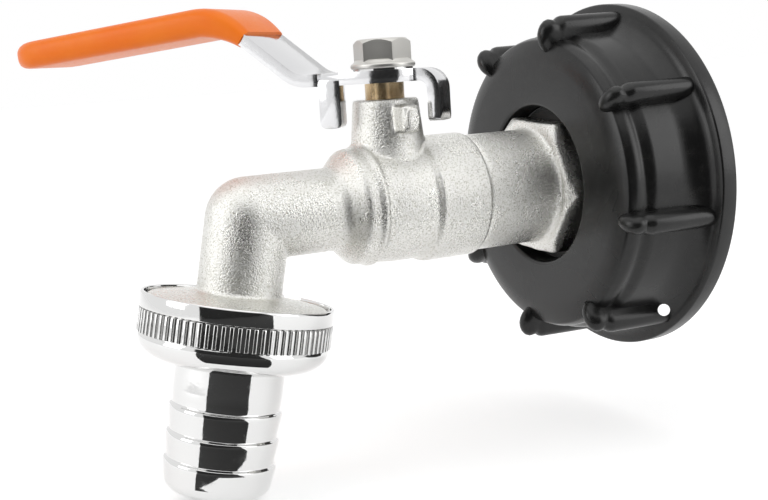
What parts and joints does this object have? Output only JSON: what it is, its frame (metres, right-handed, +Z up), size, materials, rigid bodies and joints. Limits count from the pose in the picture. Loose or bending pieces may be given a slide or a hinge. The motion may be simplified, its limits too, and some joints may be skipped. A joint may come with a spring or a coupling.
{
  "type": "ibc tank valve",
  "caption": "Lever-operated ball valve tap with a bent spout and barbed hose tail, on a ribbed screw cap for a bulk tank outlet.",
  "frame": {"origin": "centre of the screw cap's mouth plane, on the cap's axis", "axes": "+X out of the cap's mouth towards the tank, +Z up along the lever's stem, millimetre model stored in metres"},
  "size_m": [0.128, 0.1171, 0.1047],
  "materials": {
    "black_plastic": "satin",
    "cast_nickel": "rough",
    "chrome": "polished",
    "stem_brass": "machined",
    "orange_vinyl": "soft gloss",
    "black_rubber": "matte",
    "white_seal": "matte"
  },
  "bodies": {
    "valve": {"cap": "black_plastic", "cap_gasket": "black_rubber", "hex_washer": "black_rubber", "end_connector": "cast_nickel", "joint_ring": "black_rubber", "valve_body": "cast_nickel", "inlet_seat": "white_seal", "outlet_seat": "white_seal", "thrust_washer": "white_seal", "tail_washer": "black_rubber"},
    "lever_set": {"ball": "chrome", "stem": "stem_brass", "stem_ring_lower": "black_rubber", "stem_ring_upper": "black_rubber", "lever": "chrome", "lever_grip": "orange_vinyl", "lever_washer": "chrome", "lever_nut": "chrome"},
    "nut": {"union_nut": "chrome"},
    "tail": {"hose_tail": "chrome"}
  },
  "joints": [
    {"name": "lever_turn", "type": "hinge", "parent": "valve", "child": "lever_set", "pos_m": [-0.06245, 0, 0], "axis": [0, 0, 1], "range_deg": [-12, 75.5]},
    {"name": "nut_turn", "type": "hinge", "parent": "valve", "child": "nut", "pos_m": [-0.09635, 0, 0], "axis": [-0.2079, 0, -0.9781], "continuous": true},
    {"name": "tail_swivel", "type": "hinge", "parent": "valve", "child": "tail", "pos_m": [-0.09635, 0, 0], "axis": [-0.2079, 0, -0.9781], "continuous": true}
  ]
}
